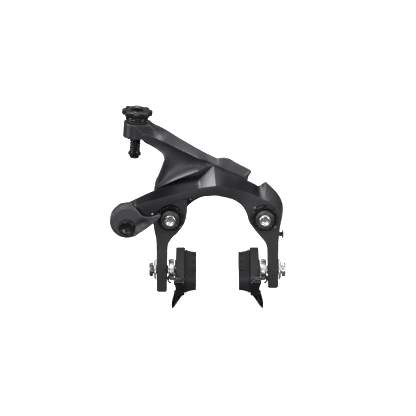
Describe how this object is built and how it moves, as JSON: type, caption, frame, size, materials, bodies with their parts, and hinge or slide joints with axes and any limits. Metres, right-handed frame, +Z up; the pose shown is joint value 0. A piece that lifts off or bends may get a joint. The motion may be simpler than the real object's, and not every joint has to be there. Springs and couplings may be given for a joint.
{
  "type": "rim brake caliper",
  "caption": "Direct-mount dual-pivot rim brake caliper with a quick-release lever, a cable adjuster and cartridge brake shoes, held by bolts to a fork crown.",
  "frame": {"origin": "midway between the two mounting bolts, on the plane that bears on the fork", "axes": "+Y towards the fork along the mounting bolts, +Z up, +X to the right seen from the front of the bicycle"},
  "size_m": [0.1043, 0.0544, 0.1164],
  "materials": {
    "arm_alloy": "satin charcoal anodised forging with gloss black facets",
    "black_anodised": "semi-gloss black",
    "bright_steel": "bright machined",
    "dark_steel": "blackened",
    "spring_steel": "drawn wire",
    "bright_alloy": "bright turned",
    "pad_rubber": "matt moulded",
    "black_polymer": "smooth acetal"
  },
  "bodies": {
    "fork_mount": {"booster_plate": "black_anodised", "left_pivot_bush": "bright_steel", "right_pivot_bush": "bright_steel", "left_mounting_bolt": "bright_steel", "right_mounting_bolt": "bright_steel", "left_lock_ring": "black_anodised", "right_lock_ring": "black_anodised"},
    "front_arm": {"front_arm": "arm_alloy", "right_return_spring": "spring_steel"},
    "rear_arm": {"rear_arm": "arm_alloy", "sync_pin": "bright_steel", "left_return_spring": "spring_steel", "adjuster_seal": "black_polymer"},
    "sync_roller": {"sync_roller": "black_polymer"},
    "quick_release": {"quick_release_lever": "arm_alloy", "cable_anchor_bolt": "black_anodised", "cable_clamp_plate": "bright_steel", "cable_anchor_nut": "bright_steel"},
    "centring_screw": {"centring_screw": "black_anodised"},
    "adjuster_knob": {"adjuster_knob": "black_anodised"},
    "adjuster_barrel": {"adjuster_barrel": "black_anodised"},
    "left_shoe_height": {"left_ball_washer": "bright_alloy", "left_outer_washer": "bright_alloy"},
    "left_shoe": {"left_shoe_holder": "black_anodised", "left_brake_pad": "pad_rubber", "left_pad_screw": "bright_steel", "left_cup_washer": "bright_alloy", "left_shoe_bolt": "dark_steel"},
    "right_shoe_height": {"right_ball_washer": "bright_alloy", "right_outer_washer": "bright_alloy"},
    "right_shoe": {"right_shoe_holder": "black_anodised", "right_brake_pad": "pad_rubber", "right_pad_screw": "bright_steel", "right_cup_washer": "bright_alloy", "right_shoe_bolt": "bright_steel"}
  },
  "joints": [
    {"name": "front_arm_pivot", "type": "hinge", "parent": "fork_mount", "child": "front_arm", "pos_m": [0.028, 0, 0], "axis": [0, 1, 0], "range_deg": [0, 10], "stiffness_Nm_per_rad": 0.6, "springref_deg": -28.65},
    {"name": "rear_arm_pivot", "type": "hinge", "parent": "fork_mount", "child": "rear_arm", "pos_m": [-0.028, 0, 0], "axis": [0, 1, 0], "range_deg": [-10, 0], "stiffness_Nm_per_rad": 0.6, "springref_deg": 28.65},
    {"name": "sync_roller_spin", "type": "hinge", "parent": "rear_arm", "child": "sync_roller", "pos_m": [0, -0.012, 0.021], "axis": [0, 1, 0], "continuous": true},
    {"name": "quick_release_turn", "type": "hinge", "parent": "front_arm", "child": "quick_release", "pos_m": [-0.0534, -0.022, 0], "axis": [0, 1, 0], "range_deg": [0, 110]},
    {"name": "centring_screw_turn", "type": "hinge", "parent": "front_arm", "child": "centring_screw", "pos_m": [0.0365, -0.011, -0.0126], "axis": [1, 0, 0], "range_deg": [-360, 360]},
    {"name": "adjuster_knob_turn", "type": "hinge", "parent": "rear_arm", "child": "adjuster_knob", "pos_m": [-0.0479, -0.011, 0.0528], "axis": [0.0698, 0, 0.9976], "range_deg": [0, 1440]},
    {"name": "adjuster_barrel_lift", "type": "slide", "parent": "rear_arm", "child": "adjuster_barrel", "axis": [0.0698, 0, 0.9976], "range_m": [0, 0.004]},
    {"name": "left_shoe_height_slide", "type": "slide", "parent": "rear_arm", "child": "left_shoe_height", "axis": [0, 0, 1], "range_m": [-0.004, 0.004]},
    {"name": "left_shoe_toe_in", "type": "hinge", "parent": "left_shoe_height", "child": "left_shoe", "pos_m": [-0.039, -0.011, -0.035], "axis": [0, 0, 1], "range_deg": [-4, 4]},
    {"name": "right_shoe_height_slide", "type": "slide", "parent": "front_arm", "child": "right_shoe_height", "axis": [0, 0, 1], "range_m": [-0.004, 0.004]},
    {"name": "right_shoe_toe_in", "type": "hinge", "parent": "right_shoe_height", "child": "right_shoe", "pos_m": [0.039, -0.011, -0.035], "axis": [0, 0, 1], "range_deg": [-4, 4]}
  ],
  "couplings": [
    {"joint": "rear_arm_pivot", "follows": "front_arm_pivot", "ratio": -1},
    {"joint": "adjuster_barrel_lift", "follows": "adjuster_knob_turn", "m_per_rad": 0.00015915}
  ]
}
